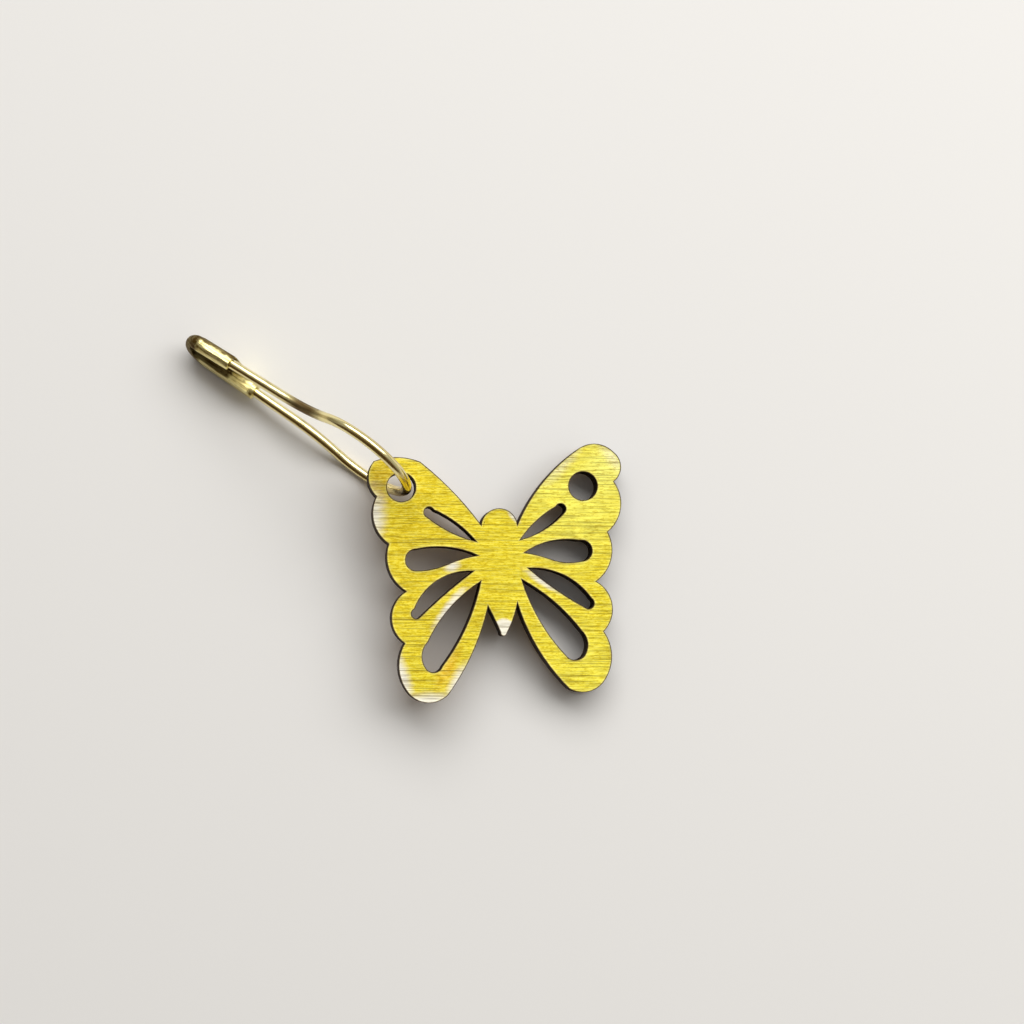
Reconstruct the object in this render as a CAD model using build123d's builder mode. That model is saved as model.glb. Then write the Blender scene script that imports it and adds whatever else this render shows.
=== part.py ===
from build123d import *
import os
from math import asin, atan2, cos, degrees, hypot, radians, sin, sqrt, tan

os.makedirs("parts", exist_ok=True)

# A stitch marker: a coilless bulb pin of bent wire, threaded through a hole in the wing tip of a
# laser-cut plywood butterfly. It lies as it was put down: the pin stands nearly on edge, and one
# wing tip rests on its wire. Millimetres; +X runs along the pin from its cap to its bulb, +Z is up,
# and the origin is below the middle of the whole object, on the table.

# Pin wire
wire_diameter = 0.8
bulb_width = 10.0          # outside the wire, across the round end
cap_to_bulb_centre = 15.6  # from the middle of the cap's round end to the middle of the bulb
neck_radius = 9.0          # where each leg curves out into the bulb
leg_flare = 5.0            # degrees that each leg spreads from the pin's middle line
leg_gap = 2.6              # between the two wires' middles, in the cap
bend_half_angle = 10.0     # degrees of the bulb, either side of its end, that flex when the pin opens
point_length = 2.4
point_flat = 0.1           # diameter left at the very tip
point_fullness_share = 0.72  # of the wire's radius, halfway along the point
point_setback = 0.3        # from the start of the cap's straight side to the tip

# Cap, folded from sheet
sheet = 0.2
channel_clearance = 0.05   # round the free leg
crimp_clearance = 0.01     # round the fixed leg
channel_length = 3.0       # straight part of the open side that holds the point
sleeve_length = 4.9        # straight part of the crimped side
window_setback = 0.9       # from the middle of the round end back to the open window's edge
dome_depth = 0.3           # how far the hollow reaches past the wires' line inside the round end
crimp_seam = 0.1
dome_sides = 16            # flats round the folded rim of the cap's round end
overrun = 0.5              # how far cutting shapes pass their faces

# Opening motion of the free leg
opening_slant = 22.0       # degrees that the point's way out slants inwards

# Plywood butterfly
wing_reach = 10.05         # from the body's middle line to the side of a wing
wing_rise = 10.05          # from the middle of the charm to the top of a wing
ply_thickness = 0.8
hole_diameter = 2.3

# How the two lie
pin_lean = 13.5            # degrees that the pin leans from upright
hole_angle = 30.0          # degrees of the bulb from its end down to where it passes the hole
thread_offset = (0.3, -0.1)  # from the hole's middle to the wire's middle, along the pin and sideways
charm_turn = 36.4          # degrees from the pin's line to the line across the wings
rest_turn = -6.6           # degrees from that line to the way the charm slopes down

# Butterfly outline, in shares of wing_reach and wing_rise. Each wing is a chain of arcs, given by a
# point that the arc passes through and the point where it ends.
head_notch_shares = {"left": (-0.14, 0.38), "right": (0.15, 0.37)}
head_top_share = (0.0, 0.505)
right_wing_shares = [
    ((0.36, 0.69), (0.66, 0.95)),
    ((0.83, 0.985), (0.95, 0.915)),
    ((1.0, 0.83), (0.94, 0.68)),
    ((0.99, 0.52), (0.87, 0.28)),
    ((0.9, 0.13), (0.76, -0.11)),
    ((0.88, -0.31), (0.8, -0.51)),
    ((0.855, -0.7), (0.77, -0.92)),
    ((0.64, -0.985), (0.5, -0.95)),
    ((0.31, -0.7), (0.12, -0.255)),
]
tail_shares = [
    ((0.08, -0.38), (0.025, -0.49)),
    ((0.0, -0.51), (-0.025, -0.48)),
    ((-0.065, -0.38), (-0.115, -0.27)),
]
left_wing_shares = [
    ((-0.28, -0.68), (-0.46, -0.95)),
    ((-0.62, -1.01), (-0.77, -0.935)),
    ((-0.845, -0.73), (-0.79, -0.53)),
    ((-0.885, -0.32), (-0.76, -0.12)),
    ((-0.895, 0.08), (-0.88, 0.26)),
    ((-0.995, 0.46), (-0.96, 0.64)),
    ((-1.02, 0.79), (-0.97, 0.92)),
    ((-0.78, 0.945), (-0.6, 0.9)),
    ((-0.37, 0.675), head_notch_shares["left"]),
]
hole_shares = {"left": (-0.76, 0.705), "right": (0.69, 0.655)}

# The tear-shaped cut-outs are chains of arcs too. Each starts and ends at its inner tip.
slot_shares = [
    [((0.295, 0.385), (0.465, 0.5)), ((0.535, 0.505), (0.535, 0.455)), ((0.36, 0.32), (0.17, 0.25))],
    [
        ((0.4, 0.225), (0.64, 0.222)),
        ((0.737, 0.145), (0.66, 0.058)),
        ((0.53, 0.052), (0.4, 0.085)),
        ((0.3, 0.12), (0.2, 0.145)),
    ],
    [
        ((0.49, -0.042), (0.715, -0.245)),
        ((0.725, -0.305), (0.668, -0.319)),
        ((0.45, -0.172), (0.22, 0.02)),
    ],
    [
        ((0.39, -0.235), (0.62, -0.495)),
        ((0.665, -0.61), (0.635, -0.695)),
        ((0.58, -0.725), (0.505, -0.705)),
        ((0.315, -0.44), (0.165, -0.07)),
    ],
    [((-0.33, 0.4), (-0.51, 0.515)), ((-0.585, 0.515), (-0.565, 0.46)), ((-0.37, 0.325), (-0.185, 0.25))],
    [
        ((-0.4, 0.212), (-0.66, 0.21)),
        ((-0.752, 0.125), (-0.67, 0.038)),
        ((-0.55, 0.045), (-0.42, 0.08)),
        ((-0.31, 0.115), (-0.18, 0.14)),
    ],
    [
        ((-0.46, -0.022), (-0.7, -0.265)),
        ((-0.71, -0.332), (-0.66, -0.33)),
        ((-0.42, -0.13), (-0.22, 0.015)),
    ],
    [
        ((-0.38, -0.23), (-0.605, -0.53)),
        ((-0.655, -0.66), (-0.63, -0.735)),
        ((-0.575, -0.77), (-0.5, -0.725)),
        ((-0.31, -0.445), (-0.165, -0.07)),
    ],
]

# Sizes worked out from those above
wire_radius = wire_diameter / 2
bulb_radius = bulb_width / 2 - wire_radius
ring_radius = leg_gap / 2
channel_radius = wire_radius + channel_clearance
cap_radius = channel_radius + sheet
charm_thickness = 3 * ply_thickness
hole_radius = hole_diameter / 2


# The pin lies in its own plane: u runs along it towards the bulb, v towards the free leg, and the
# bulb's middle is at (0, 0). Both the bulb and the cap's round end touch the table, which sets how
# far the pin rises from cap to bulb.
pin_rise = 0.0
for _ in range(20):
    plane_share = hypot(sin(radians(pin_rise)), cos(radians(pin_rise)) * cos(radians(pin_lean)))
    lift = (bulb_radius - ring_radius) * plane_share + wire_radius - cap_radius
    pin_rise = degrees(asin(lift / cap_to_bulb_centre))

along = Vector(cos(radians(pin_rise)), 0, sin(radians(pin_rise)))
upright = Vector(-sin(radians(pin_rise)), 0, cos(radians(pin_rise)))
across = upright * cos(radians(pin_lean)) + Vector(0, 1, 0) * sin(radians(pin_lean))
facing = along.cross(across)
bulb_height = bulb_radius * plane_share + wire_radius
pin_plane = Plane(origin=(0, 0, bulb_height), x_dir=along, z_dir=facing)


def on_ray(centre, reach, angle):
    """The point at a distance and an angle from another, in the pin's plane."""
    return (centre[0] + reach * cos(radians(angle)), centre[1] + reach * sin(radians(angle)))


def in_space(point, height=0.0):
    """A point of the pin's plane, raised off it by a height, in the object's own frame."""
    return pin_plane.from_local_coords(Vector(point[0], point[1], height))


def towards(angle):
    """The direction at an angle in the pin's plane."""
    return in_space(on_ray((0, 0), 1, angle)) - pin_plane.origin


# Each leg leaves the cap's round end in a straight line, curves outwards at the neck and meets the
# bulb's circle. Side 1 is the free leg and side -1 the fixed leg.
cap_centre = (-cap_to_bulb_centre, 0)
line_offset = cap_to_bulb_centre * sin(radians(leg_flare)) + ring_radius
neck_out = line_offset + neck_radius
neck_along = -sqrt((bulb_radius + neck_radius) ** 2 - neck_out**2)
neck_centre = (
    neck_along * cos(radians(leg_flare)) - neck_out * sin(radians(leg_flare)),
    neck_along * sin(radians(leg_flare)) + neck_out * cos(radians(leg_flare)),
)
neck_angle = degrees(atan2(neck_centre[1], neck_centre[0]))
neck_turn = neck_angle - 90 - leg_flare


def leg_point(side, distance):
    """The point of a leg's straight line at a distance from the cap's round end."""
    start = on_ray(cap_centre, ring_radius, 90 + leg_flare)
    point = on_ray(start, distance, leg_flare)
    return (point[0], side * point[1])


def leg_route(side, distance):
    """A leg from a distance along its straight line to the flexing bend at the bulb's end."""
    neck_start = on_ray(neck_centre, neck_radius, leg_flare - 90)
    neck_middle = (neck_centre[0], side * neck_centre[1])
    Line(leg_point(side, distance), (neck_start[0], side * neck_start[1]))
    CenterArc(neck_middle, neck_radius, side * (leg_flare - 90), side * neck_turn)
    CenterArc((0, 0), bulb_radius, side * neck_angle, side * (bend_half_angle - neck_angle))


def section_plane(point, angle):
    """A plane across a wire or channel, at a point and a direction of the pin's plane."""
    return Plane(origin=in_space(point), x_dir=facing, z_dir=towards(angle))


# Fixed leg: crimped in the cap, with the lower half of the bulb.
with BuildPart() as fixed_leg:
    with BuildLine(pin_plane) as fixed_route:
        leg_route(-1, 0)
    with BuildSketch(section_plane(leg_point(-1, 0), -leg_flare)):
        Circle(wire_radius)
    sweep(path=fixed_route.wire())

# Flexing bend: the short stretch of the same wire at the bulb's end, where the pin springs open.
with BuildPart() as bulb_bend:
    with BuildLine(pin_plane) as bend_route:
        CenterArc((0, 0), bulb_radius, -bend_half_angle, 2 * bend_half_angle)
    with BuildSketch(section_plane(on_ray((0, 0), bulb_radius, -bend_half_angle), 90 - bend_half_angle)):
        Circle(wire_radius)
    sweep(path=bend_route.wire())

# Free leg: the upper half of the bulb and the leg that ends in a point inside the cap's channel.
with BuildPart() as free_leg:
    with BuildLine(pin_plane) as free_route:
        leg_route(1, point_setback + point_length)
    with BuildSketch(section_plane(leg_point(1, point_setback + point_length), leg_flare)):
        Circle(wire_radius)
    sweep(path=free_route.wire())
    point_tip = in_space(leg_point(1, point_setback))
    point_plane = Plane(origin=point_tip, x_dir=towards(leg_flare), z_dir=facing)
    with BuildSketch(point_plane):
        with BuildLine():
            Polyline((point_length, wire_radius), (point_length, 0), (0, 0), (0, point_flat / 2))
            ThreePointArc(
                (0, point_flat / 2),
                (point_length / 2, point_fullness_share * wire_radius),
                (point_length, wire_radius),
            )
        make_face()
    revolve(axis=Axis(point_plane.origin, point_plane.x_dir))

# Cap: one folded sheet. Its wall wraps the round end and both legs; the side towards +facing is open,
# so the point can be pushed out past the lip.
with BuildPart() as cap:
    for side, length in ((1, channel_length), (-1, sleeve_length)):
        with BuildSketch(section_plane(leg_point(side, 0), side * leg_flare)):
            Circle(cap_radius)
        extrude(amount=length)
    with BuildSketch(section_plane(leg_point(1, 0), leg_flare)):
        RegularPolygon(cap_radius, dome_sides)
    revolve(axis=Axis(in_space(cap_centre), facing), revolution_arc=180 - 2 * leg_flare)
    with BuildSketch(pin_plane):
        with BuildLine():
            Line(leg_point(1, channel_length), leg_point(1, 0))
            CenterArc(cap_centre, ring_radius, 90 + leg_flare, 180 - 2 * leg_flare)
            Line(leg_point(-1, 0), leg_point(-1, sleeve_length))
            Line(leg_point(-1, sleeve_length), leg_point(1, channel_length))
        make_face()
    extrude(amount=cap_radius, both=True)
    # The channel of the free leg.
    with BuildSketch(section_plane(leg_point(1, 0), leg_flare)):
        Circle(channel_radius)
    extrude(amount=sleeve_length, mode=Mode.SUBTRACT)
    # The bore that is crimped on the fixed leg.
    with BuildSketch(section_plane(leg_point(-1, 0), -leg_flare)):
        Circle(wire_radius + crimp_clearance)
    extrude(amount=sleeve_length + overrun, mode=Mode.SUBTRACT)
    # The hollow between the legs and in the round end, which stops at the sleeve's wall.
    sleeve_inside = [leg_point(-1, distance) for distance in (-window_setback, sleeve_length + overrun)]
    dome_radius = ring_radius + dome_depth
    with BuildSketch(pin_plane):
        with BuildLine():
            Line(leg_point(1, sleeve_length + overrun), leg_point(1, 0))
            Line(leg_point(1, 0), on_ray(cap_centre, dome_radius, 90 + leg_flare))
            CenterArc(cap_centre, dome_radius, 90 + leg_flare, 90 - leg_flare)
            Polyline(
                on_ray(cap_centre, dome_radius, 180),
                on_ray(sleeve_inside[0], cap_radius, 90 - leg_flare),
                on_ray(sleeve_inside[1], cap_radius, 90 - leg_flare),
                leg_point(1, sleeve_length + overrun),
            )
        make_face()
    extrude(amount=channel_radius, both=True, mode=Mode.SUBTRACT)
    # The window in the open side, between the lip and the sleeve.
    free_side = [leg_point(1, distance) for distance in (-window_setback, sleeve_length + overrun)]
    with BuildSketch(pin_plane):
        with BuildLine():
            Polyline(
                free_side[0],
                on_ray(sleeve_inside[0], cap_radius, 90 - leg_flare),
                on_ray(sleeve_inside[1], cap_radius, 90 - leg_flare),
                free_side[1],
                close=True,
            )
        make_face()
    extrude(amount=cap_radius + overrun, mode=Mode.SUBTRACT)
    # The lip's edge, which leaves the slanted way out clear.
    lip_start = in_space(free_side[0])
    lip_plane = Plane(origin=lip_start, x_dir=towards(90 + leg_flare), z_dir=towards(leg_flare))
    lip_foot = (
        channel_radius * cos(radians(opening_slant)),
        -channel_radius * sin(radians(opening_slant)),
    )
    lip_rise = cap_radius + overrun - channel_radius * sin(radians(opening_slant))
    lip_top = (lip_foot[0] - lip_rise * tan(radians(opening_slant)), -cap_radius - overrun)
    with BuildSketch(lip_plane):
        with BuildLine():
            Polyline((0, 0), lip_foot, lip_top, (0, -cap_radius - overrun), close=True)
        make_face()
    extrude(amount=window_setback + sleeve_length + overrun, mode=Mode.SUBTRACT)
    # The seam where the sheet's edge meets itself along the sleeve.
    seam_start = in_space(leg_point(-1, -window_setback))
    seam_plane = Plane(origin=seam_start, x_dir=facing, z_dir=towards(-leg_flare))
    with BuildSketch(seam_plane):
        with Locations((cap_radius / 2 + overrun / 2, 0)):
            Rectangle(cap_radius + overrun, crimp_seam)
    extrude(amount=window_setback + sleeve_length + overrun, mode=Mode.SUBTRACT)


# Charm outline on its own flat board: x across the wings, y towards the head.
def on_charm(share):
    """A point of the butterfly from its shares."""
    return (share[0] * wing_reach, share[1] * wing_rise)


def closed_chain(chain):
    """Draw a chain of arcs that ends where it starts."""
    start = chain[-1][1]
    for through, end in chain:
        ThreePointArc(on_charm(start), on_charm(through), on_charm(end))
        start = end


head_shares = [(head_top_share, head_notch_shares["right"])]
with BuildSketch(Plane.XY) as butterfly:
    with BuildLine():
        closed_chain(head_shares + right_wing_shares + tail_shares + left_wing_shares)
    make_face()
    with Locations([on_charm(share) for share in hole_shares.values()]):
        Circle(hole_radius, mode=Mode.SUBTRACT)
    for slot in slot_shares:
        with BuildLine():
            closed_chain(slot)
        make_face(mode=Mode.SUBTRACT)

# The wire passes the threaded hole a little off its middle, and the charm slopes down from there
# until its far edge touches the table.
wings_line = Vector(1, 0, 0).rotate(Axis.Z, charm_turn)
level = Plane(origin=(0, 0, 0), x_dir=wings_line, z_dir=(0, 0, 1))
thread_place = in_space(on_ray((0, 0), bulb_radius, -hole_angle))
hole_place = Vector(*on_charm(hole_shares["left"]), 0)
wire_place = hole_place + level.to_local_coords(Vector(*thread_offset, 0))
slope_line = Vector(cos(radians(rest_turn)), sin(radians(rest_turn)), 0)
far_edge = butterfly.sketch.rotate(Axis.Z, -rest_turn).bounding_box().max.X
run = far_edge - wire_place.dot(slope_line)
half_thickness = charm_thickness / 2
charm_slope = degrees(asin(thread_place.Z / hypot(run, half_thickness)) - atan2(half_thickness, run))

downhill = level.from_local_coords(slope_line)
tilt_axis = Axis((0, 0, 0), Vector(0, 0, 1).cross(downhill))
charm_x = level.x_dir.rotate(tilt_axis, charm_slope)
charm_normal = Vector(0, 0, 1).rotate(tilt_axis, charm_slope)
charm_tilt = Plane(origin=(0, 0, 0), x_dir=charm_x, z_dir=charm_normal)
charm_middle = thread_place - charm_tilt.from_local_coords(wire_place)


# Each ply is cut to the same outline. They are glued face to face, back ply first.
def ply_plane(layer):
    """The plane that a ply stands on, counted from the back."""
    bottom = charm_middle + charm_normal * (layer * ply_thickness - half_thickness)
    return Plane(origin=bottom, x_dir=charm_x, z_dir=charm_normal)


with BuildPart() as back_ply:
    with BuildSketch(ply_plane(0)):
        add(butterfly.sketch)
    extrude(amount=ply_thickness)

with BuildPart() as core_ply:
    with BuildSketch(ply_plane(1)):
        add(butterfly.sketch)
    extrude(amount=ply_thickness)

with BuildPart() as front_ply:
    with BuildSketch(ply_plane(2)):
        add(butterfly.sketch)
    extrude(amount=ply_thickness)

fixed_leg.part.label = "fixed_leg"
bulb_bend.part.label = "bulb_bend"
free_leg.part.label = "free_leg"
cap.part.label = "cap"
back_ply.part.label = "back_ply"
core_ply.part.label = "core_ply"
front_ply.part.label = "front_ply"
pieces = [fixed_leg, bulb_bend, free_leg, cap, back_ply, core_ply, front_ply]

# The origin goes below the middle of the whole object, on the table.
boxes = [piece.part.bounding_box() for piece in pieces]
low = Vector(*[min(tuple(box.min)[i] for box in boxes) for i in range(3)])
high = Vector(*[max(tuple(box.max)[i] for box in boxes) for i in range(3)])
shift = Vector(-(low.X + high.X) / 2, -(low.Y + high.Y) / 2, -low.Z)
for piece in pieces:
    piece.part.move(Location(shift))
    export_step(piece.part, f"parts/{piece.part.label}.step")

print("size", high - low)
print("rise of the pin", pin_rise, "slope of the charm", charm_slope)
print("along", along, "across", across, "facing", facing)
print("bulb's middle", pin_plane.origin + shift)
print("bulb's end", in_space((bulb_radius, 0)) + shift)
print("opening axis", across * cos(radians(opening_slant)) + facing * sin(radians(opening_slant)))
threaded_hole = charm_tilt.from_local_coords(hole_place)
print("threaded hole", charm_middle + threaded_hole + shift, "its axis", charm_normal)
print("across the wings", charm_x, "charm's middle", charm_middle + shift)
second_hole = charm_tilt.from_local_coords(Vector(*on_charm(hole_shares["right"]), 0))
print("second hole", charm_middle + second_hole + shift)
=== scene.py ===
from math import atan2, cos, pi, radians, sin, sqrt, tan

import bmesh
import bpy
from mathutils import Matrix, Vector, noise


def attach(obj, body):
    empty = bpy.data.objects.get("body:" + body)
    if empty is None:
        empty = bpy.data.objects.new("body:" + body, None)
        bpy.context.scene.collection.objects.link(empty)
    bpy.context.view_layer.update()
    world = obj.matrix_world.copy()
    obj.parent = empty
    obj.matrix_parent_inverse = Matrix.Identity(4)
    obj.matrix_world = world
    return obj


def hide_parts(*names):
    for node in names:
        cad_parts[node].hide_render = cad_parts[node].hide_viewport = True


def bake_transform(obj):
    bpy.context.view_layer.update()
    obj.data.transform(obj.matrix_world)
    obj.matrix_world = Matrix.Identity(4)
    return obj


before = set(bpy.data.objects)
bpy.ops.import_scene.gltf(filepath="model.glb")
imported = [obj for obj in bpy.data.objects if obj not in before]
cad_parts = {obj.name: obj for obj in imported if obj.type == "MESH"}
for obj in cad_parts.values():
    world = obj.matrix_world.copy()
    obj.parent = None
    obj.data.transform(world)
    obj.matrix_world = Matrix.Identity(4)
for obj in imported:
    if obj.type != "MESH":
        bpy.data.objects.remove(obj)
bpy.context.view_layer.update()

# Pin wire: one length of drawn brass wire, bent round into a bulb without a coil and ground to a
# point. One end is crimped in the cap, and the point rests in the cap's channel. Opening the pin
# springs the wire at the bulb's end.
millimetre = 0.001
wire_radius = 0.4 * millimetre
bulb_radius = 4.6 * millimetre
cap_to_bulb_centre = 15.6 * millimetre
neck_radius = 9.0 * millimetre
leg_offset = 1.3 * millimetre
leg_flare = radians(5)
point_length = 2.4 * millimetre
point_flat = 0.05 * millimetre
point_setback = 0.3 * millimetre
pin_rise = radians(10.9459)
pin_lean = radians(13.5)
bulb_middle = Vector((-4.4319, 1.1925, 4.8776)) * millimetre
sides_of_wire = 32
fixed_leg_steps = 24
neck_steps = 20
bulb_steps = 90
free_leg_steps = 20
point_steps = 14

along = Vector((cos(pin_rise), 0, sin(pin_rise)))
upright = Vector((-sin(pin_rise), 0, cos(pin_rise)))
across = upright * cos(pin_lean) + Vector((0, 1, 0)) * sin(pin_lean)
facing = along.cross(across)
pin_place = Matrix.Translation(bulb_middle) @ Matrix((along, across, facing)).transposed().to_4x4()


def on_ray(centre, reach, angle):
    """The point at a distance and an angle from another, in the pin's own plane."""
    return Vector((centre[0] + reach * cos(angle), centre[1] + reach * sin(angle)))


def leg_point(side, distance):
    """The point of a leg at a distance along its straight line. Side 1 is the free leg."""
    start = on_ray((-cap_to_bulb_centre, 0), leg_offset, pi / 2 + leg_flare)
    point = on_ray(start, distance, leg_flare)
    return Vector((point.x, side * point.y))


def straight(start, end, steps):
    """Stations from one point to another: each is a point and the wire's heading there."""
    heading = atan2(end.y - start.y, end.x - start.x)
    return [(start.lerp(end, i / steps), heading) for i in range(steps + 1)]


def bend(centre, radius, start, turn, steps):
    """Stations round an arc, from an angle through a turn."""
    quarter = pi / 2 if turn > 0 else -pi / 2
    angles = [start + turn * i / steps for i in range(1, steps + 1)]
    return [(on_ray(centre, radius, angle), angle + quarter) for angle in angles]


neck_out = cap_to_bulb_centre * sin(leg_flare) + leg_offset + neck_radius
neck_along = -sqrt((bulb_radius + neck_radius) ** 2 - neck_out**2)
neck_centre = Vector((neck_along, neck_out))
neck_centre.rotate(Matrix.Rotation(leg_flare, 2))
neck_angle = atan2(neck_centre.y, neck_centre.x)
neck_turn = neck_angle - pi / 2 - leg_flare
neck_start = on_ray(neck_centre, neck_radius, leg_flare - pi / 2)
lower_neck_centre = (neck_centre.x, -neck_centre.y)
point_start = leg_point(1, point_setback + point_length)

stations = straight(leg_point(-1, 0), Vector((neck_start.x, -neck_start.y)), fixed_leg_steps)
stations += bend(lower_neck_centre, neck_radius, pi / 2 - leg_flare, -neck_turn, neck_steps)
stations += bend((0, 0), bulb_radius, -neck_angle, 2 * neck_angle, bulb_steps)
stations += bend(neck_centre, neck_radius, neck_angle - pi, -neck_turn, neck_steps)
neck_middle = len(stations) - neck_steps // 2
stations += straight(neck_start, point_start, free_leg_steps)[1:]
whole_wire = len(stations)
stations += straight(point_start, leg_point(1, point_setback), point_steps)[1:]

mesh = bpy.data.meshes.new("pin_wire")
work = bmesh.new()
unbent = work.verts.layers.float_vector.new("unbent")
length = 0.0
last_ring = None
for number, (point, heading) in enumerate(stations):
    if number:
        length += (point - stations[number - 1][0]).length
    if number == neck_middle:
        neck_distance = length
    ground = max(number - whole_wire + 1, 0) / point_steps
    radius = point_flat + (wire_radius - point_flat) * cos(ground * pi / 2)
    upended = Matrix.Rotation(heading, 4, "Z") @ Matrix.Rotation(pi / 2, 4, "Y")
    place = Matrix.Translation((point.x, point.y, 0)) @ upended
    ring = bmesh.ops.create_circle(work, segments=sides_of_wire, radius=radius, matrix=place)["verts"]
    for i, vert in enumerate(ring):
        angle = 2 * pi * i / sides_of_wire
        vert[unbent] = Vector((cos(angle) * wire_radius, sin(angle) * wire_radius, length)) / millimetre
    edges = list({edge for vert in ring for edge in vert.link_edges})
    if last_ring:
        bmesh.ops.bridge_loops(work, edges=last_ring + edges)
    last_ring = edges
open_ends = [edge for edge in work.edges if edge.is_boundary]
bmesh.ops.holes_fill(work, edges=open_ends, sides=sides_of_wire)
bmesh.ops.transform(work, matrix=pin_place, verts=work.verts)
bmesh.ops.recalc_face_normals(work, faces=work.faces)
for face in work.faces:
    face.smooth = len(face.verts) == 4
work.to_mesh(mesh)
work.free()
pin_wire = bpy.data.objects.new("pin_wire", mesh)
bpy.context.collection.objects.link(pin_wire)


def colour(red, green, blue):
    """A colour as a screen shows it, from 0 to 255, made linear for a shader."""
    shares = [value / 255 for value in (red, green, blue)]
    return [*(s / 12.92 if s <= 0.04045 else ((s + 0.055) / 1.055) ** 2.4 for s in shares), 1.0]


def node(tree, kind, x, y, inputs=None, **settings):
    """A node with its settings, and its inputs set to values or linked from other nodes' outputs."""
    made = tree.nodes.new(kind)
    made.location = (x, y)
    for name, value in settings.items():
        setattr(made, name, value)
    for socket, value in (inputs or {}).items():
        if isinstance(value, bpy.types.NodeSocket):
            tree.links.new(value, made.inputs[socket])
        else:
            made.inputs[socket].default_value = value
    return made


def maths(tree, operation, x, y, *values, clamp=False):
    """One sum on values or outputs."""
    inputs = dict(enumerate(values))
    return node(tree, "ShaderNodeMath", x, y, inputs, operation=operation, use_clamp=clamp).outputs[0]


def ramp(tree, value, x, y, start, end, low=0.0, high=1.0):
    """A soft mask or range: low where the value hasn't come past the start, high beyond the end."""
    return node(
        tree, "ShaderNodeMapRange", x, y,
        {"Value": value, "From Min": start, "From Max": end, "To Min": low, "To Max": high},
        interpolation_type="SMOOTHSTEP",
    ).outputs["Result"]


def blended(tree, factor, x, y, first, second, kind="RGBA"):
    """Two colours mixed by a factor, or two numbers where the kind is FLOAT."""
    inputs = {"Factor": factor, "A": first, "B": second}
    return node(tree, "ShaderNodeMix", x, y, inputs, data_type=kind).outputs["Result"]


def mottled(tree, place, x, y, scale, detail, roughness=0.5):
    """Noise that is alike all ways. Scale is how many times it changes in a millimetre."""
    return node(
        tree, "ShaderNodeTexNoise", x, y,
        {"Vector": place, "Scale": scale, "Detail": detail, "Roughness": roughness},
    ).outputs["Fac"]


def stretched_noise(tree, place, x, y, stretch, detail, roughness=0.6):
    """Noise drawn out along a line. Stretch is how many times it changes in a millimetre."""
    drawn = node(tree, "ShaderNodeVectorMath", x, y, {0: place, 1: stretch}, operation="MULTIPLY")
    return mottled(tree, drawn.outputs[0], x + 250, y, 1.0, detail, roughness)


def new_group(name, inputs, outputs):
    """A shader node group, what it is given and its output node. Inputs have their starting values,
    which are numbers or places, and each output is a number."""
    tree = bpy.data.node_groups.new(name, "ShaderNodeTree")
    for socket, value in inputs.items():
        kind = "NodeSocketVector" if isinstance(value, tuple) else "NodeSocketFloat"
        tree.interface.new_socket(socket, in_out="INPUT", socket_type=kind).default_value = value
    for socket in outputs:
        tree.interface.new_socket(socket, in_out="OUTPUT", socket_type="NodeSocketFloat")
    given = node(tree, "NodeGroupInput", -900, 0).outputs
    return tree, given, node(tree, "NodeGroupOutput", 900, 0)


def hand_out(tree, result, outputs):
    """Links a group's results to its output node."""
    for name, output in outputs.items():
        tree.links.new(output, result.inputs[name])


# Drawn brass, for the wire and the cap's sheet: fine lines along the metal, shallow dents and brown
# tarnish in spots. The same brown goes where a mask asks for it, and those masks also paint shade and
# a dark reflection. Places are in millimetres.
drawn_brass, given, result = new_group(
    "drawn_brass",
    {"Place": (0.0, 0.0, 0.0), "Line Stretch": (1.0, 1.0, 1.0), "Spots": 0.3, "Stain And Shade": 0.0},
    ("Lines", "Tarnish And Shade", "Dents"),
)
lines = stretched_noise(drawn_brass, given["Place"], -650, 200, given["Line Stretch"], 3.0, 0.7)
spot_cloud = mottled(drawn_brass, given["Place"], -400, -100, 0.9, 6.0, 0.7)
spots = ramp(drawn_brass, spot_cloud, -150, -100, 0.56, 0.72)
spotted = maths(drawn_brass, "MULTIPLY", 100, -100, spots, given["Spots"])
smudged = node(
    drawn_brass, "ShaderNodeMapRange", 100, -300,
    {"Value": lines, "From Min": 0.35, "From Max": 0.65, "To Min": 1.0, "To Max": 0.8},
).outputs["Result"]
tarnish_and_shade = maths(drawn_brass, "MULTIPLY_ADD", 350, -200, given["Stain And Shade"], smudged, spotted, clamp=True)
dents = mottled(drawn_brass, given["Place"], -400, -400, 0.7, 2.0)
hand_out(drawn_brass, result, {"Lines": lines, "Tarnish And Shade": tarnish_and_shade, "Dents": dents})

dull_line = 0.08
bright_line = 0.05
dull_tarnish_and_shade = 0.25


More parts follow.
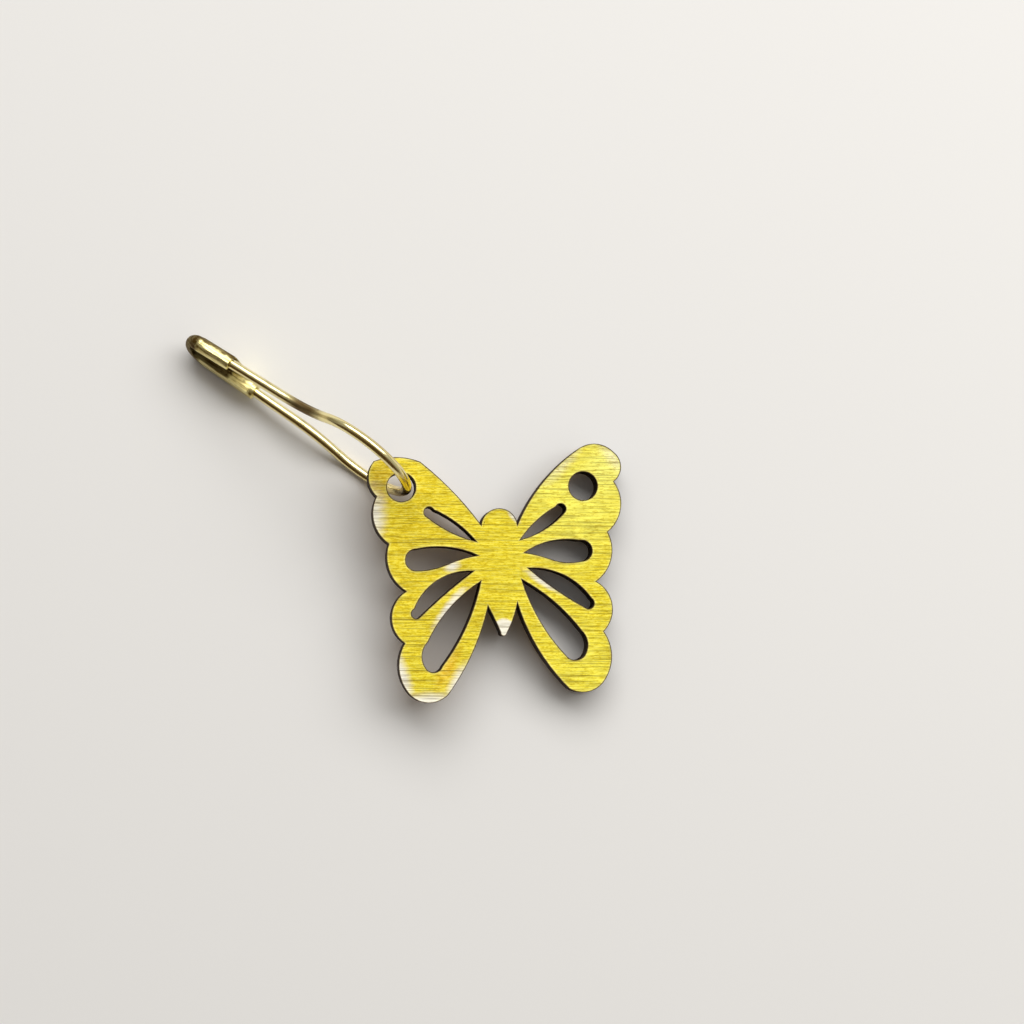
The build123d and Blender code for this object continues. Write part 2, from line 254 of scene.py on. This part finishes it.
def brass_material(name, looks, stretch, spots, bright, brown, stain_and_shade, roughness, line_depth, dent_depth):
    """Brass with its lines, tarnish and dents. Looks gives the place to read, in millimetres along
    the metal, and the mask that takes the stain colour, which paints shade and a dark reflection too."""
    material = bpy.data.materials.new(name)
    material.use_nodes = True
    tree = material.node_tree
    shader = tree.nodes["Principled BSDF"]
    place, stained_and_shaded = looks(tree)
    lines, tarnish_and_shade, dents = node(
        tree, "ShaderNodeGroup", -850, 0,
        {"Place": place, "Line Stretch": stretch, "Spots": spots, "Stain And Shade": stained_and_shaded},
        node_tree=drawn_brass,
    ).outputs
    lined = ramp(tree, lines, -600, 200, 0.32, 0.54)
    toned = blended(tree, lined, -350, 250, colour(*brown), colour(*bright))
    # Stain colour: tarnish, plus painted shade in the cap's hollow and a painted reflection at the neck.
    stained_and_shaded_tone = blended(tree, tarnish_and_shade, -100, 250, toned, colour(*stain_and_shade))
    rough = ramp(tree, lines, -350, 0, 0.25, 0.75, roughness + dull_line, roughness - bright_line)
    rougher = maths(tree, "MULTIPLY_ADD", -100, 0, tarnish_and_shade, dull_tarnish_and_shade, rough, clamp=True)
    fine = node(
        tree, "ShaderNodeBump", -350, -250,
        {"Strength": 1.0, "Distance": line_depth, "Height": lines},
    )
    dented = node(
        tree, "ShaderNodeBump", -100, -250,
        {"Strength": 1.0, "Distance": dent_depth, "Height": dents, "Normal": fine.outputs["Normal"]},
    )
    shader.inputs["Metallic"].default_value = 1.0
    tree.links.new(stained_and_shaded_tone, shader.inputs["Base Color"])
    tree.links.new(rougher, shader.inputs["Roughness"])
    tree.links.new(dented.outputs["Normal"], shader.inputs["Normal"])
    return material


# How far from the middle of the free leg's neck its painted dark reflection begins and is full, in
# millimetres.
neck_painted_reflection_begins = 2.6
neck_painted_reflection_full = 0.6


def wire_looks(tree):
    """The wire is read as if it were straight. Brown where its free leg turns into the bulb is a
    painted dark reflection.
    """
    place = node(tree, "ShaderNodeAttribute", -1700, 0, attribute_name="unbent").outputs["Vector"]
    distance = node(tree, "ShaderNodeSeparateXYZ", -1500, -200, {"Vector": place}).outputs["Z"]
    from_neck = maths(tree, "SUBTRACT", -1300, -200, distance, neck_distance / millimetre)
    off_neck = maths(tree, "ABSOLUTE", -1150, -200, from_neck)
    return place, ramp(tree, off_neck, -1050, -200, neck_painted_reflection_begins, neck_painted_reflection_full)


# The wire's stain colour marks tarnish spots and paints a dark reflection at the free leg's neck.
wire_metal = brass_material(
    "bright_drawn_wire",
    wire_looks,
    stretch=(5.0, 5.0, 0.16),
    spots=0.4,
    bright=(246, 232, 172),
    brown=(196, 172, 108),
    stain_and_shade=(92, 64, 26),
    roughness=0.16,
    line_depth=0.01 * millimetre,
    dent_depth=0.02 * millimetre,
)
pin_wire.data.materials.append(wire_metal)
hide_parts("fixed_leg", "bulb_bend", "free_leg")
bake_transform(pin_wire)

# Cap: stamped from thin brass sheet, folded over both legs. It is crimped on the fixed leg, and its
# open side lets the point out past the lip.
merge_distance = 0.0005 * millimetre
flat_enough = radians(0.5)
fold_angle = radians(32)
sheet_edge_radius = 0.035 * millimetre
press_rings = (0.6 * millimetre, 1.4 * millimetre, 2.2 * millimetre)
press_turn = radians(-8.8)
pressed_height = 0.55 * millimetre
ragged_from = 4.75 * millimetre
ragged_depth = 0.14 * millimetre
ragged_size = 0.35 * millimetre
sleeve_reach = 0.75 * millimetre


def merged_copy(node_name, name):
    """A new piece with the shape of a CAD node, its loose triangles merged, ready to be worked on."""
    shape = bmesh.new()
    shape.from_mesh(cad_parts[node_name].data)
    bmesh.ops.remove_doubles(shape, verts=shape.verts, dist=merge_distance)
    bmesh.ops.dissolve_degenerate(shape, edges=shape.edges, dist=merge_distance)
    piece = bpy.data.objects.new(name, bpy.data.meshes.new(name))
    bpy.context.collection.objects.link(piece)
    return shape, piece


work, folded_cap = merged_copy("cap", "folded_cap")
bmesh.ops.dissolve_limit(work, angle_limit=flat_enough, verts=work.verts, edges=work.edges)
closed = [edge for edge in work.edges if len(edge.link_faces) == 2]
bmesh.ops.bevel(
    work, geom=[edge for edge in closed if edge.calc_face_angle() > fold_angle],
    offset=sheet_edge_radius, segments=2, profile=0.5, material=-1, affect="EDGES", clamp_overlap=True,
)
# The lip was pressed a little flat over the point, and the sleeve's end was left ragged by the cutter.
turned_like_pin = pin_place.to_3x3()
lip_line = turned_like_pin @ Vector((cos(leg_flare), sin(leg_flare), 0))
lip_start = pin_place @ leg_point(1, 0).to_3d()
press_line = turned_like_pin @ Vector((-sin(leg_flare), cos(leg_flare), 0))
press_line.rotate(Matrix.Rotation(press_turn, 3, lip_line))
sleeve_line = turned_like_pin @ Vector((cos(leg_flare), -sin(leg_flare), 0))
sleeve_start = pin_place @ leg_point(-1, 0).to_3d()
for reach in press_rings:
    geometry = [*work.verts, *work.edges, *work.faces]
    bmesh.ops.bisect_plane(work, geom=geometry, plane_co=lip_start + lip_line * reach, plane_no=lip_line)
for vert in work.verts:
    reach = (vert.co - lip_start).dot(lip_line)
    proud = (vert.co - lip_start).dot(press_line) - pressed_height
    if reach > 0 and proud > 0:
        vert.co -= press_line * proud * min(reach / press_rings[0], 1)
    beyond = (vert.co - sleeve_start).dot(sleeve_line) - ragged_from
    if beyond > 0 and (vert.co - sleeve_start).cross(sleeve_line).length < sleeve_reach:
        vert.co -= sleeve_line * ragged_depth * (noise.noise(vert.co / ragged_size) + 1) / 2
for face in work.faces:
    face.smooth = True
work.to_mesh(folded_cap.data)
work.free()
folded_cap.data.set_sharp_from_angle(angle=fold_angle)

# Where each brown part of the cap begins and where it is full, in millimetres from the bulb's
# middle: along the pin, over it towards the free leg, and off its plane. In the hollow, the brown is
# painted shade.
along_round_end = (-15.3, -15.8)
along_hollow_shade = (-12.5, -13.0)
over_back = (0.9, 1.4)
over_hollow_shade = (0.75, 0.35)
off_back = (0.1, -0.1)
off_hollow_shade = (0.62, 0.5)


def cap_looks(tree):
    """The cap is read along the pin. It is darker brown on its round end and behind its lip, and its
    hollow has painted shade.
    """
    source = node(tree, "ShaderNodeTexCoord", -2300, 0).outputs["Object"]
    place = node(
        tree, "ShaderNodeMapping", -2100, 0,
        {"Vector": source, "Location": bulb_middle, "Rotation": pin_place.to_euler(),
         "Scale": (millimetre,) * 3},
        vector_type="TEXTURE",
    ).outputs["Vector"]
    wander = mottled(tree, place, -2100, -400, 2.2, 4.0)
    split = node(tree, "ShaderNodeSeparateXYZ", -1900, 0, {"Vector": place})
    along_pin, over_pin, off_plane = split.outputs
    wavy_along = maths(tree, "MULTIPLY_ADD", -1700, 200, wander, 0.9, along_pin)
    wavy_off = maths(tree, "MULTIPLY_ADD", -1700, 0, wander, 0.4, off_plane)
    round_end = ramp(tree, wavy_along, -1500, 200, *along_round_end)
    turned_back = ramp(tree, wavy_off, -1500, 0, *off_back)
    raised = ramp(tree, over_pin, -1500, -100, *over_back)
    back = maths(tree, "MULTIPLY", -1350, 0, turned_back, raised)
    # Painted shade: the hollow inside the lip, short of its mouth, gets the stain colour as if in shadow.
    under_lip = ramp(tree, over_pin, -1700, -200, *over_hollow_shade)
    inside_edge = ramp(tree, off_plane, -1700, -400, *off_hollow_shade)
    before_mouth = ramp(tree, wavy_along, -1700, -600, *along_hollow_shade)
    behind_window = maths(tree, "MULTIPLY", -1500, -300, under_lip, inside_edge)
    hollow_shade = maths(tree, "MULTIPLY", -1300, -300, behind_window, before_mouth)
    outside = maths(tree, "MAXIMUM", -1300, 100, round_end, back)
    return place, maths(tree, "MAXIMUM", -1100, 100, outside, hollow_shade)


# The cap's stain colour marks tarnish spots, browns its round end and back, and paints shade in its hollow.
cap_metal = brass_material(
    "stamped_cap_sheet",
    cap_looks,
    stretch=(0.15, 5.5, 5.5),
    spots=0.5,
    bright=(250, 238, 170),
    brown=(160, 136, 70),
    stain_and_shade=(84, 62, 20),
    roughness=0.34,
    line_depth=0.03 * millimetre,
    dent_depth=0.006 * millimetre,
)
folded_cap.data.materials.append(cap_metal)
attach(folded_cap, "pin_frame")
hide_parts("cap")

# Butterfly board: three veneers glued face to face and cut out by a laser, which burns the edges
# black. Patterns are placed on its own flat axes: x across the wings, y to the head, in millimetres.
wings_line = Vector((0.797795, 0.589353, -0.127226))
charm_normal = Vector((0.111139, 0.06365, 0.991764))
charm_middle = Vector((9.8978, -0.4483, 2.3891)) * millimetre
charm_axes = Matrix((wings_line, charm_normal.cross(wings_line), charm_normal)).transposed()
burnt_lip = 0.06 * millimetre
burnt_lip_drop = 0.6 * burnt_lip
rubbed_rim = 0.2 * millimetre
outward_cosine = 0.9
flat_cosine = 0.98
board_edge_angle = radians(35)
grain_turn = radians(3)
grain_drift = (0.0, 0.12, 0.0)
grain_strength = 0.8
hairline_height = -0.6
char_roughness = 0.85
dull_wood = 0.25


def on_board(tree, x, y):
    """The board's own flat coordinates in millimetres."""
    source = node(tree, "ShaderNodeTexCoord", x, y)
    return node(
        tree, "ShaderNodeMapping", x + 200, y,
        {"Vector": source.outputs["Object"], "Location": charm_middle,
         "Rotation": charm_axes.to_euler(), "Scale": (millimetre,) * 3},
        vector_type="TEXTURE",
    ).outputs["Vector"]


# Wood grain: fine streaks and short fibres that run across the wings, dark hairlines, and a slow
# unevenness of tone.
grain, given, result = new_group(
    "veneer_grain",
    {"Place": (0.0, 0.0, 0.0), "Turn": 0.0},
    ("Streaks", "Hairlines", "Fibres", "Cloud"),
)
turned = node(
    grain, "ShaderNodeVectorRotate", -700, 0,
    {"Vector": given["Place"], "Angle": given["Turn"]}, rotation_type="Z_AXIS",
)
drift = node(
    grain, "ShaderNodeTexNoise", -700, -300, {"Vector": given["Place"], "Scale": 0.12, "Detail": 1.0}
)
wavy = node(
    grain, "ShaderNodeVectorMath", -450, 0,
    {0: drift.outputs["Color"], 1: grain_drift, 2: turned.outputs[0]}, operation="MULTIPLY_ADD",
).outputs[0]
streaks = stretched_noise(grain, wavy, -200, 300, (0.4, 5.5, 1.0), 5.0, 0.75)
fibres = stretched_noise(grain, wavy, -200, -300, (2.6, 9.0, 3.0), 4.0, 0.7)
cloud = stretched_noise(grain, wavy, -200, -500, (0.25, 0.45, 0.4), 3.0)
long_lines = stretched_noise(grain, wavy, -200, 0, (0.1, 7.5, 1.0), 0.0)
short_lines = stretched_noise(grain, wavy, -200, 600, (0.3, 11.0, 1.0), 1.0)
strong = ramp(grain, long_lines, 300, 0, 0.67, 0.79)
faint = ramp(grain, short_lines, 300, 600, 0.5, 0.66, 0.0, 0.65)
hairlines = maths(grain, "MAXIMUM", 600, 300, strong, faint)
hand_out(grain, result, {"Streaks": streaks, "Hairlines": hairlines, "Fibres": fibres, "Cloud": cloud})

# Patch: an oval mask at a place on the board, as soft and as ragged as wanted.
patch, given, result = new_group(
    "oval_patch",
    {"Place": (0.0, 0.0, 0.0), "Middle": (0.0, 0.0, 0.0), "Turn": 0.0, "Reach": (1.0, 1.0, 100.0),
     "Soft": 0.3, "Ragged": 0.5},
    ("Mask",),
)
centred = node(
    patch, "ShaderNodeVectorMath", -700, 0, {0: given["Place"], 1: given["Middle"]}, operation="SUBTRACT"
)
turned = node(
    patch, "ShaderNodeVectorRotate", -500, 0,
    {"Vector": centred.outputs[0], "Angle": given["Turn"]}, rotation_type="Z_AXIS", invert=True,
)
shrunk = node(
    patch, "ShaderNodeVectorMath", -300, 0, {0: turned.outputs[0], 1: given["Reach"]}, operation="DIVIDE"
)
reach = node(patch, "ShaderNodeVectorMath", -100, 0, {0: shrunk.outputs[0]}, operation="LENGTH")
uneven = stretched_noise(patch, given["Place"], -700, -300, (0.9, 3.5, 1.0), 4.0)
rag = maths(patch, "SUBTRACT", -100, -250, uneven, 0.5)
ragged = maths(patch, "MULTIPLY_ADD", 100, 0, rag, given["Ragged"], reach.outputs["Value"])
outside = maths(patch, "ADD", 100, -200, 1.0, given["Soft"])
inside = maths(patch, "SUBTRACT", 100, -400, 1.0, given["Soft"])
hand_out(patch, result, {"Mask": ramp(patch, ragged, 400, 0, outside, inside)})


def patches(tree, place, x, y, spots):
    """One mask for several patches: each is a middle, a turn, a reach, a softness and a raggedness."""
    total = None
    for number, (middle, turn, reach, soft, ragged) in enumerate(spots):
        row = y - 260 * number
        spot = node(
            tree, "ShaderNodeGroup", x, row,
            {"Place": place, "Middle": (*middle, 0), "Turn": radians(turn), "Reach": (*reach, 100),
             "Soft": soft, "Ragged": ragged},
            node_tree=patch,
        ).outputs["Mask"]
        total = maths(tree, "MAXIMUM", x + 220, row, total, spot) if number else spot
    return total


# Charred edge: what a laser leaves, near black on the cut wall with fine ribs through the board, and
# a thin brown line round the face.
charred, given, result = new_group(
    "charred_edge",
    {"Place": (0.0, 0.0, 0.0), "From Cut": 0.0},
    ("Burn", "Smoke", "Rim", "Ribs"),
)
uneven = stretched_noise(charred, given["Place"], -650, -100, (2.4, 2.4, 2.4), 5.0)
reached = maths(charred, "MULTIPLY_ADD", 0, -100, uneven, 0.16, given["From Cut"])
burn = ramp(charred, reached, 350, 200, 0.24, 0.14)
smoke = ramp(charred, reached, 350, -100, 0.42, 0.2)
rim = ramp(charred, reached, 350, -400, 1.0, 0.4)
ribs = stretched_noise(charred, given["Place"], -650, 300, (7.0, 7.0, 0.7), 4.0)
hand_out(charred, result, {"Burn": burn, "Smoke": smoke, "Rim": rim, "Ribs": ribs})


def cut_ply(node_name, name, outer):
    """A ply from its CAD node. Its outer face gets a rounded burnt lip and a rubbed rim, and every
    point keeps its distance from the cut: from_cut is 0 on the walls and 1 past the rim."""
    shape, piece = merged_copy(node_name, name)
    from_cut = shape.verts.layers.float.new("from_cut")
    if outer:
        outwards = charm_normal * outer
        face_side = [face for face in shape.faces if face.normal.dot(outwards) > outward_cosine]
        cut_edge = {vert for face in face_side for vert in face.verts if any(
            other not in face_side for other in vert.link_faces)}
        bmesh.ops.inset_region(shape, faces=face_side, thickness=burnt_lip, depth=0, use_even_offset=True)
        bmesh.ops.translate(shape, verts=list(cut_edge), vec=-outwards * burnt_lip_drop)
        for vert in {vert for face in face_side for vert in face.verts}:
            vert[from_cut] = burnt_lip / (burnt_lip + rubbed_rim)
        bmesh.ops.inset_region(shape, faces=face_side, thickness=rubbed_rim, depth=0, use_even_offset=False)
        for vert in {vert for face in face_side for vert in face.verts}:
            vert[from_cut] = 1.0
    for face in shape.faces:
        face.smooth = abs(face.normal.dot(charm_normal)) < flat_cosine
    shape.to_mesh(piece.data)
    shape.free()
    piece.data.set_sharp_from_angle(angle=board_edge_angle)
    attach(piece, "charm")
    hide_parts(node_name)
    return piece


def veneer_material(name, face_look, char_light, char_dark, smoke_brown, grain_depth):
    """A veneer: its face, a brown margin and charred walls. Face_look gives the face's colour and
    roughness from the board's coordinates, the grain and the rim."""
    material = bpy.data.materials.new(name)
    material.use_nodes = True
    tree = material.node_tree
    shader = tree.nodes["Principled BSDF"]
    shader.location = (900, 0)
    tree.nodes["Material Output"].location = (1200, 0)
    place = on_board(tree, -2100, 0)
    wood = node(
        tree, "ShaderNodeGroup", -1500, 300, {"Place": place, "Turn": grain_turn}, node_tree=grain
    ).outputs
    from_cut = node(tree, "ShaderNodeAttribute", -1700, -600, attribute_name="from_cut")
    burn, smoke, rim, ribs = node(
        tree, "ShaderNodeGroup", -1500, -600, {"Place": place, "From Cut": from_cut.outputs["Fac"]},
        node_tree=charred,
    ).outputs
    face, roughness = face_look(tree, place, wood, rim)
    smoked = blended(tree, smoke, 250, 200, face, colour(*smoke_brown))
    char = blended(tree, ribs, 250, -200, colour(*char_dark), colour(*char_light))
    burnt = blended(tree, burn, 500, 100, smoked, char)
    rough = blended(tree, burn, 500, -200, roughness, char_roughness, "FLOAT")
    relief = maths(
        tree, "MULTIPLY_ADD", 250, -700, wood["Hairlines"], hairline_height, wood["Streaks"]
    )
    height = blended(tree, burn, 500, -600, relief, ribs, "FLOAT")
    bump = node(
        tree, "ShaderNodeBump", 700, -500,
        {"Strength": grain_strength, "Distance": grain_depth, "Height": height},
    )
    shader.inputs["Specular IOR Level"].default_value = dull_wood
    tree.links.new(burnt, shader.inputs["Base Color"])
    tree.links.new(rough, shader.inputs["Roughness"])
    tree.links.new(bump.outputs["Normal"], shader.inputs["Normal"])
    return material


# Face veneer: thin wood, glued on the side that shows. Yellow dye was brushed on it by hand, so it is
# deeper in some places and has missed others, which show the pale wood.
plain_dye = (238, 214, 6)
bright_dye = (249, 230, 36)
rubbed_dye = (252, 244, 150)
rubbed_strength = 0.45
pale_fibre = (255, 248, 120)
fibre_strength = 0.55
dark_fleck = (190, 156, 6)
fleck_strength = 0.6
dyed_streak = (158, 128, 6)
streak_strength = 0.46
pale_wood = (250, 247, 236)
pale_wood_streak = (206, 194, 156)
missed_strength = 0.88
scorch_strength = 0.7
dark_hairline = (104, 82, 6)
hairline_strength = 0.62
dye_looks = [
    ((238, 211, 0), [((-6.5, 3.0), 10, (4.5, 6.5), 0.9, 0.8)]),
    ((253, 245, 92), [((7.0, 5.8), 60, (4.6, 3.6), 0.7, 0.7), ((4.3, 6.9), 40, (2.6, 1.2), 0.6, 0.6)]),
    ((250, 235, 60), [((6.4, -7.6), -60, (3.4, 2.4), 0.8, 0.6), ((-5.2, 1.6), 0, (1.6, 0.9), 0.8, 0.6)]),
    ((255, 252, 122), [((9.2, 8.4), 50, (2.0, 1.5), 0.7, 0.7)]),
    ((250, 246, 190), [((9.5, 9.0), -60, (1.4, 0.6), 0.8, 0.9), ((5.3, 8.6), 46, (1.9, 0.6), 0.8, 0.9)]),
    ((218, 184, 20), [((-9.3, 7.6), 75, (1.7, 1.2), 0.7, 0.6)]),
    ((236, 186, 20), [((-4.6, -7.3), 65, (1.5, 0.6), 0.8, 0.5)]),
]
missed_places = [
    ((-10.0, 4.9), 84, (1.7, 0.8), 0.85, 1.3),
    ((-8.3, -7.9), 105, (2.0, 0.5), 0.8, 0.9),
    ((-6.6, -9.95), 2, (2.0, 0.5), 0.8, 0.9),
    ((-3.9, -8.8), 60, (1.5, 0.5), 0.8, 0.9),
    ((-4.3, -2.7), 50, (1.6, 0.34), 0.7, 1.3),
    ((-3.85, 0.6), 20, (0.5, 0.34), 0.8, 0.9),
    ((3.3, -0.9), -35, (1.2, 0.26), 0.8, 1.2),
    ((1.25, 4.35), -50, (0.5, 0.2), 0.8, 0.6),
    ((0.0, -5.6), 0, (1.35, 1.85), 0.07, 0.12),
]
scorched_places = [((-10.0, 6.8), 0, (0.8, 1.5), 0.4, 0.5)]


def dyed_yellow(tree, place, wood, rim):
    """The dyed face: its colour and roughness outputs."""
    streaks, hairlines, fibres, cloud = wood
    dye = blended(tree, cloud, -700, 600, colour(*plain_dye), colour(*bright_dye))
    for number, (shade, spots) in enumerate(dye_looks):
        tinted = patches(tree, place, -1100, 1500 + 600 * number, spots)
        dye = blended(tree, tinted, -500, 700 + 60 * number, dye, colour(*shade))
    rubbed = maths(tree, "MULTIPLY", -300, 900, rim, rubbed_strength)
    dye = blended(tree, rubbed, -100, 900, dye, colour(*rubbed_dye))
    fibred = ramp(tree, fibres, -300, 100, 0.4, 0.7, 0.0, fibre_strength)
    dye = blended(tree, fibred, 50, 700, dye, colour(*pale_fibre))
    flecked = ramp(tree, fibres, -300, -100, 0.5, 0.36, 0.0, fleck_strength)
    dye = blended(tree, flecked, 75, 600, dye, colour(*dark_fleck))
    lined = ramp(tree, streaks, -300, 300, 0.3, 0.58, streak_strength, 0.0)
    dye = blended(tree, lined, 100, 500, dye, colour(*dyed_streak))
    bare = patches(tree, place, -1100, 6000, missed_places)
    missed = maths(tree, "MULTIPLY", -300, 6000, bare, missed_strength)
    undyed = blended(tree, lined, 0, 1100, colour(*pale_wood), colour(*pale_wood_streak))
    dye = blended(tree, missed, 125, 400, dye, undyed)
    scorched = patches(tree, place, -1100, 9000, scorched_places)
    scorched_lines = ramp(tree, streaks, -500, 9200, 0.48, 0.36, 0.0, scorch_strength)
    ticks = maths(tree, "MULTIPLY", -300, 9000, scorched, scorched_lines)
    dark = maths(tree, "MULTIPLY_ADD", 0, 0, hairlines, hairline_strength, ticks, clamp=True)
    dye = blended(tree, dark, 150, 300, dye, colour(*dark_hairline))
    return dye, ramp(tree, streaks, -100, 0, 0.3, 0.7, 0.75, 0.55)


dyed_wood = veneer_material(
    "dyed_yellow_veneer",
    dyed_yellow,
    char_light=(78, 56, 35),
    char_dark=(24, 17, 12),
    smoke_brown=(84, 62, 16),
    grain_depth=0.04 * millimetre,
)
painted_veneer = cut_ply("front_ply", "painted_veneer", outer=1)
painted_veneer.data.materials.append(dyed_wood)


# Core veneer: the board's middle layer, plain wood glued between the other two. Only its cut edge
# shows, and the laser has charred it.
def bare_wood(light, dark, line):
    """Bare wood in its own colours, for a face that has no dye."""

    def look(tree, place, wood, rim):
        tone = blended(tree, wood["Streaks"], -500, 600, colour(*light), colour(*dark))
        tone = blended(tree, wood["Hairlines"], -250, 600, tone, colour(*line))
        return tone, ramp(tree, wood["Streaks"], -250, 300, 0.3, 0.7, 0.6, 0.8)

    return look


core_wood = veneer_material(
    "charred_core_veneer",
    bare_wood(light=(196, 160, 110), dark=(170, 132, 84), line=(120, 88, 52)),
    char_light=(46, 33, 23),
    char_dark=(13, 10, 8),
    smoke_brown=(60, 40, 22),
    grain_depth=0.05 * millimetre,
)
charred_core = cut_ply("core_ply", "charred_core", outer=0)
charred_core.data.materials.append(core_wood)

# Back veneer: bare wood without dye, glued under the core and browned by smoke round every cut. It is
# the side that lies towards the table.
back_wood = veneer_material(
    "bare_back_veneer",
    bare_wood(light=(224, 192, 144), dark=(186, 150, 102), line=(132, 98, 58)),
    char_light=(80, 57, 36),
    char_dark=(26, 19, 13),
    smoke_brown=(96, 62, 30),
    grain_depth=0.04 * millimetre,
)
bare_back = cut_ply("back_ply", "bare_back", outer=-1)
bare_back.data.materials.append(back_wood)

# Table: a plain pale surface for the object to lie on and to shade. It isn't part of the object.
table_reach = 1.5
table_colour = (226, 224, 220)
table_mesh = bpy.data.meshes.new("table")
work = bmesh.new()
bmesh.ops.create_grid(work, x_segments=1, y_segments=1, size=table_reach)
work.to_mesh(table_mesh)
work.free()
table = bpy.data.objects.new("table", table_mesh)
bpy.context.collection.objects.link(table)
table_material = bpy.data.materials.new("pale_table")
table_material.use_nodes = True
table_shader = table_material.node_tree.nodes["Principled BSDF"]
table_shader.inputs["Base Color"].default_value = colour(*table_colour)
table_shader.inputs["Roughness"].default_value = 0.8
table_mesh.materials.append(table_material)

# Light: a long soft lamp, high on the side that the pin leans to, in a pale room. The other side of
# the room is dimmer, and brown low down, so that the round brass has something dark to mirror.
lamp_middle = Vector((-0.02, 0.3, 0.35))
lamp_side = (0.1, 0.9, 0.4)
brown_side = (0.12, -0.93, 0.34)
room_white = (255, 255, 255)
room_brown = (150, 122, 80)
dimmest_wall = 0.26
brightest_wall = 0.46
lamp = bpy.data.lights.new("soft_lamp", "AREA")
lamp.shape = "RECTANGLE"
lamp.size = 0.8
lamp.size_y = 0.32
lamp.energy = 3.1
lamp_object = bpy.data.objects.new("soft_lamp", lamp)
lamp_object.location = lamp_middle
lamp_object.rotation_euler = (-lamp_middle).to_track_quat("-Z", "Y").to_euler()
bpy.context.collection.objects.link(lamp_object)
surround = bpy.data.worlds.new("surround")
surround.use_nodes = True
room = surround.node_tree
background = room.nodes["Background"]
looking = node(room, "ShaderNodeTexCoord", -1100, 0).outputs["Generated"]


def towards(side, x, y):
    """How much a look into the room goes towards one side of it, from -1 to 1."""
    inputs = {0: looking, 1: Vector(side).normalized()}
    return node(room, "ShaderNodeVectorMath", x, y, inputs, operation="DOT_PRODUCT").outputs["Value"]


walls = ramp(room, towards(lamp_side, -850, 200), -600, 200, -0.4, 0.5, dimmest_wall, brightest_wall)
shade = ramp(room, towards(brown_side, -850, -200), -600, -200, 0.42, 0.56)
tone = blended(room, shade, -350, 0, colour(*room_white), colour(*room_brown))
room.links.new(tone, background.inputs["Color"])
room.links.new(walls, background.inputs["Strength"])
bpy.context.scene.world = surround

# Camera: held over the object, a little from below in the picture, and turned so that the pin runs
# down from the upper left.
camera_distance = 220 * millimetre
looked_at = Vector((7.91, 4.235, 0)) * millimetre
half_picture_pixels = 512
pixels_a_millimetre = 12.322
half_width = half_picture_pixels / pixels_a_millimetre * millimetre
camera_turn = radians(33.64)
held_right = radians(1.5)
held_below = radians(3.7)
picture_right = Vector((cos(camera_turn), sin(camera_turn), 0))
picture_up = Vector((-sin(camera_turn), cos(camera_turn), 0))
to_camera = picture_right * tan(held_right) - picture_up * tan(held_below) + Vector((0, 0, 1))
to_camera.normalize()
camera_right = picture_up.cross(to_camera).normalized()
camera_axes = Matrix((camera_right, to_camera.cross(camera_right), to_camera)).transposed()
camera = bpy.data.cameras.new("camera")
camera.sensor_fit = "HORIZONTAL"
camera.angle = 2 * atan2(half_width, camera_distance)
camera.clip_start = 0.01
camera.clip_end = 10
camera_object = bpy.data.objects.new("camera", camera)
camera_object.location = looked_at + to_camera * camera_distance
camera_object.rotation_euler = camera_axes.to_euler()
bpy.context.collection.objects.link(camera_object)
bpy.context.scene.camera = camera_object
bpy.context.scene.view_settings.view_transform = "Standard"
